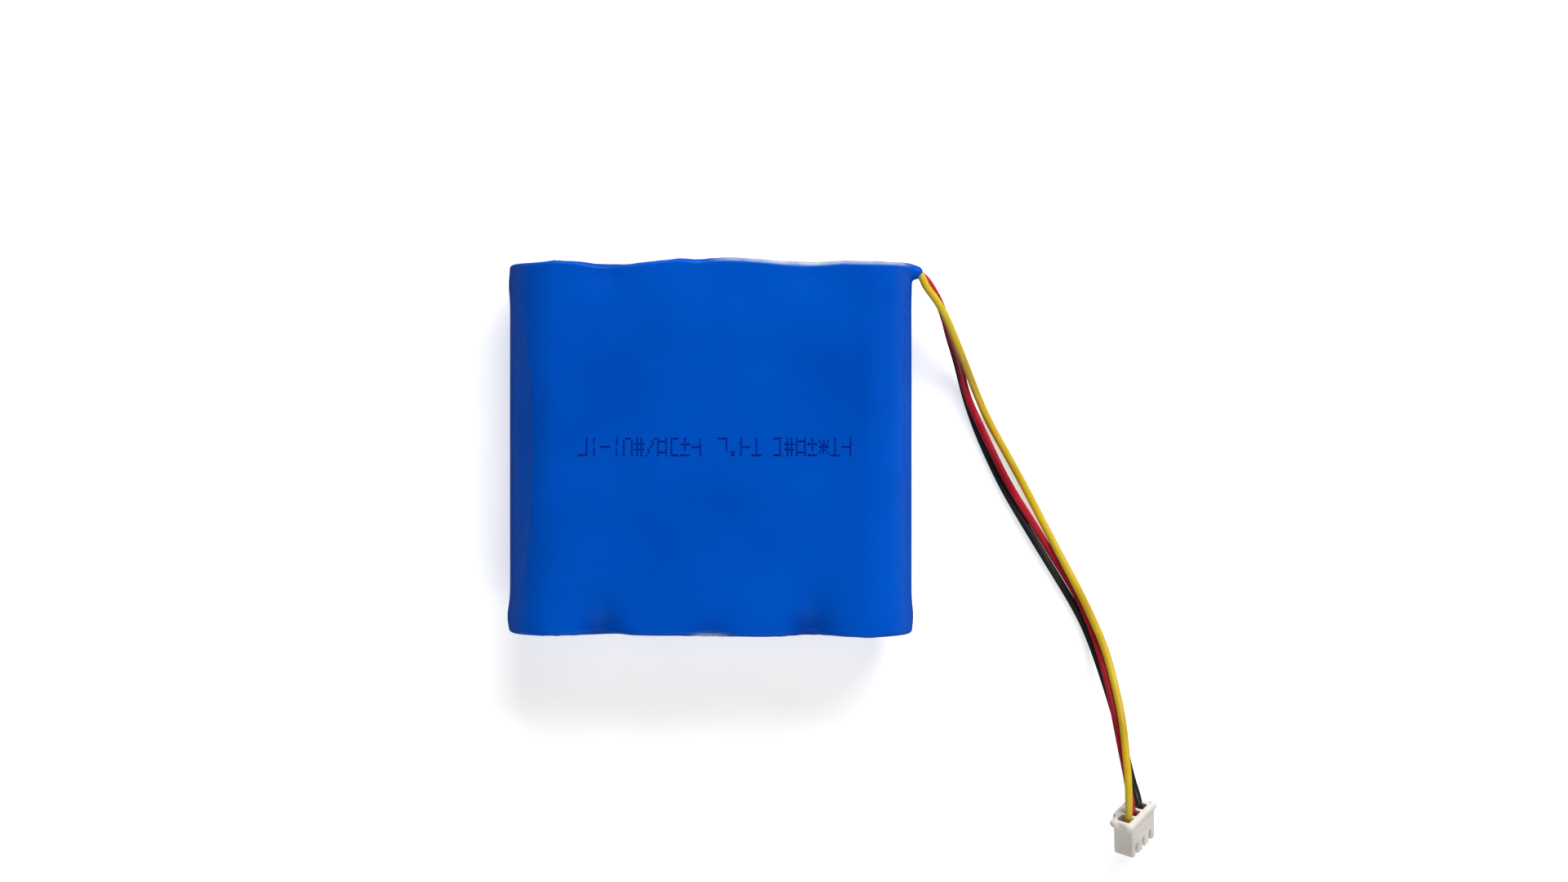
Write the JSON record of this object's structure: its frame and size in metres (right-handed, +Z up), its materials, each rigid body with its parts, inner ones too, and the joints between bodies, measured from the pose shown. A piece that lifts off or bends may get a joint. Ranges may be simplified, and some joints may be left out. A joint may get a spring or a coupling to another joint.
{
  "type": "battery pack",
  "caption": "Flat rechargeable battery pack: a row of round cells in glossy blue heat-shrink film, with slim coloured leads to a small white plug.",
  "frame": {"origin": "centre of the underside of the pack's box, without the free leads and plug", "axes": "+X across the row of cells towards the corner that the leads leave, +Y towards the end with the protection board and the leads, +Z up through the pack's thickness as it lies flat"},
  "size_m": [0.1198, 0.1107, 0.019],
  "materials": {
    "film": "gloss",
    "can_steel": "satin",
    "electrode_roll": "matte",
    "gasket": "satin",
    "cap_steel": "polished",
    "washer_paper": "matte",
    "cell_sleeve": "gloss",
    "nickel": "satin",
    "insulating_paper": "matte",
    "circuit_board": "satin",
    "chip_mould": "matte",
    "chip_ceramic": "satin",
    "tap_wire": "satin",
    "thermistor_epoxy": "gloss",
    "thermistor_wire": "satin",
    "silicone": "satin",
    "lead_yellow_cover": "satin",
    "lead_red_cover": "satin",
    "lead_black_cover": "satin",
    "plug_nylon": "satin",
    "terminal_tin": "satin"
  },
  "bodies": {
    "root": {"heat_shrink_film": "film", "lead_exit_sleeve": "film", "cell_can_1": "can_steel", "cell_can_2": "can_steel", "cell_can_3": "can_steel", "cell_can_4": "can_steel", "cell_roll_1": "electrode_roll", "cell_roll_2": "electrode_roll", "cell_roll_3": "electrode_roll", "cell_roll_4": "electrode_roll", "cell_gasket_1": "gasket", "cell_gasket_2": "gasket", "cell_gasket_3": "gasket", "cell_gasket_4": "gasket", "cell_cap_1": "cap_steel", "cell_cap_2": "cap_steel", "cell_cap_3": "cap_steel", "cell_cap_4": "cap_steel", "cell_washer_1": "washer_paper", "cell_washer_2": "washer_paper", "cell_washer_3": "washer_paper", "cell_washer_4": "washer_paper", "cell_sleeve_1": "cell_sleeve", "cell_sleeve_2": "cell_sleeve", "cell_sleeve_3": "cell_sleeve", "cell_sleeve_4": "cell_sleeve", "nickel_strip_positive": "nickel", "nickel_strip_negative": "nickel", "nickel_strip_series": "nickel", "insulator_board_bottom": "insulating_paper", "insulator_board_top": "insulating_paper", "board_cover_paper": "insulating_paper", "protection_board": "circuit_board", "protection_chip": "chip_mould", "switch_transistor_1": "chip_mould", "switch_transistor_2": "chip_mould", "sense_resistor": "chip_ceramic", "chip_resistor_1": "chip_ceramic", "chip_resistor_2": "chip_ceramic", "chip_capacitor_1": "chip_ceramic", "chip_capacitor_2": "chip_ceramic", "mid_tap_wire": "tap_wire", "thermistor_bead": "thermistor_epoxy", "thermistor_wire_1": "thermistor_wire", "thermistor_wire_2": "thermistor_wire", "glue_bead_1": "silicone", "glue_bead_2": "silicone", "glue_bead_3": "silicone", "inner_lead_yellow": "lead_yellow_cover", "inner_lead_red": "lead_red_cover", "inner_lead_black": "lead_black_cover", "lead_yellow": "lead_yellow_cover", "lead_red": "lead_red_cover", "lead_black": "lead_black_cover", "connector_housing": "plug_nylon", "crimp_terminal_1": "terminal_tin", "crimp_terminal_2": "terminal_tin", "crimp_terminal_3": "terminal_tin"}
  },
  "joints": []
}
